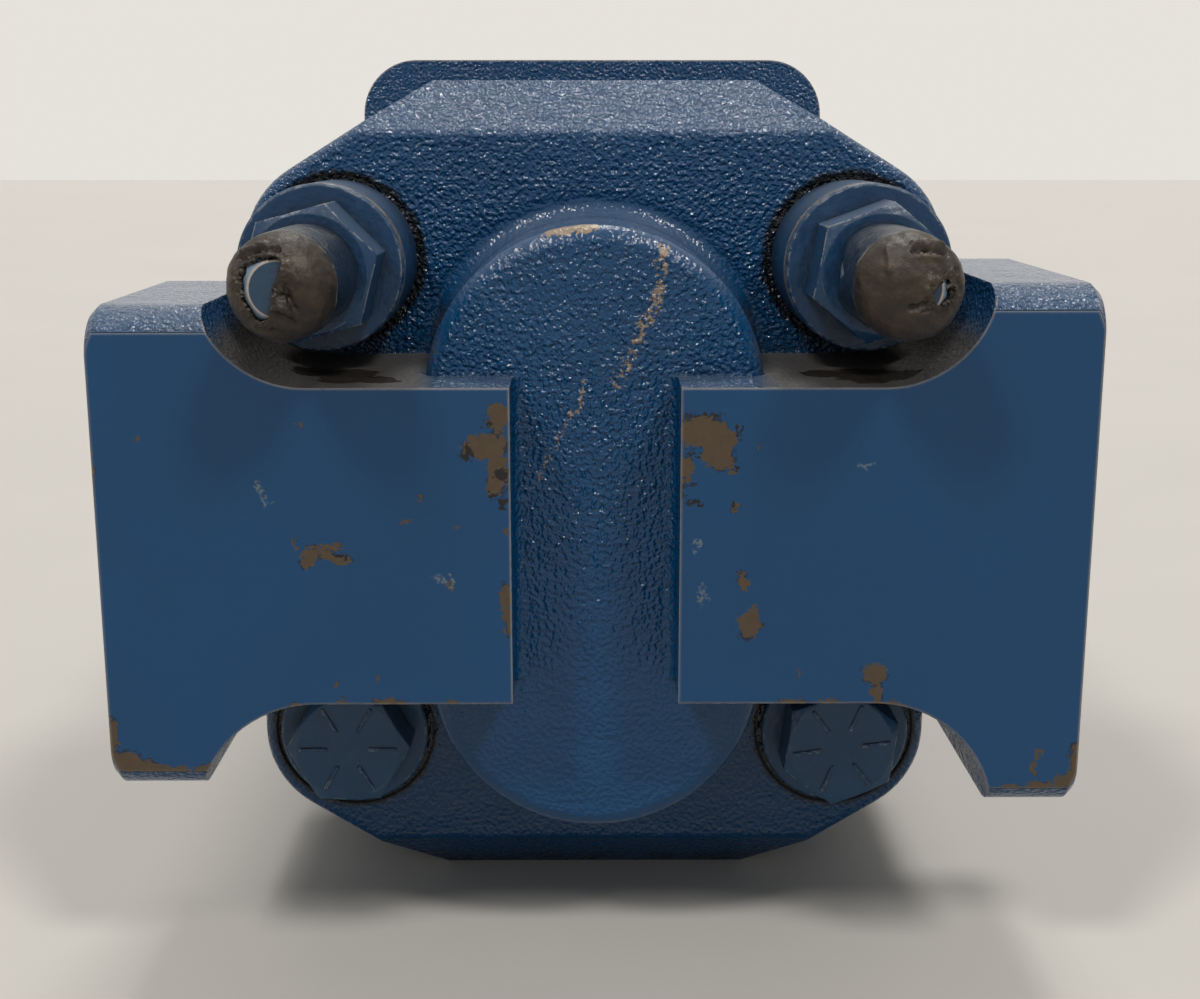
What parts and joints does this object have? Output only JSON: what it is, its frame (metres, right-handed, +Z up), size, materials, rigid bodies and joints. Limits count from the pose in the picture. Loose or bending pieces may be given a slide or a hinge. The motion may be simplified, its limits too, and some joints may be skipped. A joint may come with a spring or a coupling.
{
  "type": "hydraulic gear pump",
  "caption": "External gear pump: bolted castings, square mounting flange with pilot, keyed drive shaft, flange ports on both sides.",
  "frame": {"origin": "centre of the pilot on the mounting face, on the drive shaft's axis", "axes": "+Y along the drive shaft out of the mounting face, +Z up with the pump on its flat base, +X towards the inlet port"},
  "size_m": [0.191, 0.3481, 0.1943],
  "materials": {
    "casting_paint": "satin blue enamel on cast iron",
    "fastener_paint": "satin blue enamel on steel",
    "cap_vinyl": "soft dark vinyl",
    "gear_steel": "ground",
    "bright_steel": "ground",
    "bearing_bronze": "machined bronze",
    "bearing_steel": "polished",
    "cage_steel": "pressed",
    "seal_rubber": "matte",
    "spring_steel": "phosphated"
  },
  "bodies": {
    "casing": {"shaft_end_cover": "casting_paint", "gear_housing": "casting_paint", "port_end_cover": "casting_paint", "front_thrust_plate": "bearing_bronze", "rear_thrust_plate": "bearing_bronze", "front_drive_bushing": "bearing_bronze", "front_driven_bushing": "bearing_bronze", "rear_drive_bushing": "bearing_bronze", "rear_driven_bushing": "bearing_bronze", "bearing_outer_ring": "bearing_steel", "shaft_seal": "seal_rubber", "front_joint_seal": "seal_rubber", "rear_joint_seal": "seal_rubber", "seal_spring": "spring_steel", "bearing_snap_ring": "spring_steel", "front_left_dowel": "bright_steel", "front_right_dowel": "bright_steel", "rear_left_dowel": "bright_steel", "rear_right_dowel": "bright_steel", "left_stud": "fastener_paint", "left_collar": "fastener_paint", "left_nut_washer": "fastener_paint", "left_nut": "fastener_paint", "left_cap_screw": "fastener_paint", "left_screw_washer": "fastener_paint", "right_stud": "fastener_paint", "right_collar": "fastener_paint", "right_nut_washer": "fastener_paint", "right_nut": "fastener_paint", "right_cap_screw": "fastener_paint", "right_screw_washer": "fastener_paint", "left_stud_cap": "cap_vinyl", "right_stud_cap": "cap_vinyl"},
    "drive_shaft": {"drive_gear": "gear_steel", "shaft_key": "bright_steel", "bearing_inner_ring": "bearing_steel", "shaft_snap_ring": "spring_steel"},
    "driven_shaft": {"driven_gear": "gear_steel"},
    "ball_cage": {"bearing_balls": "bearing_steel", "bearing_cage": "cage_steel"}
  },
  "joints": [
    {"name": "drive_shaft_spin", "type": "hinge", "parent": "casing", "child": "drive_shaft", "pos_m": [0, 0, 0], "axis": [0, 1, 0], "continuous": true},
    {"name": "driven_shaft_spin", "type": "hinge", "parent": "casing", "child": "driven_shaft", "pos_m": [0, 0, -0.05715], "axis": [0, 1, 0], "continuous": true},
    {"name": "ball_cage_spin", "type": "hinge", "parent": "casing", "child": "ball_cage", "pos_m": [0, 0, 0], "axis": [0, 1, 0], "continuous": true}
  ],
  "couplings": [
    {"joint": "driven_shaft_spin", "follows": "drive_shaft_spin", "ratio": -1},
    {"joint": "ball_cage_spin", "follows": "drive_shaft_spin", "ratio": 0.3962}
  ]
}
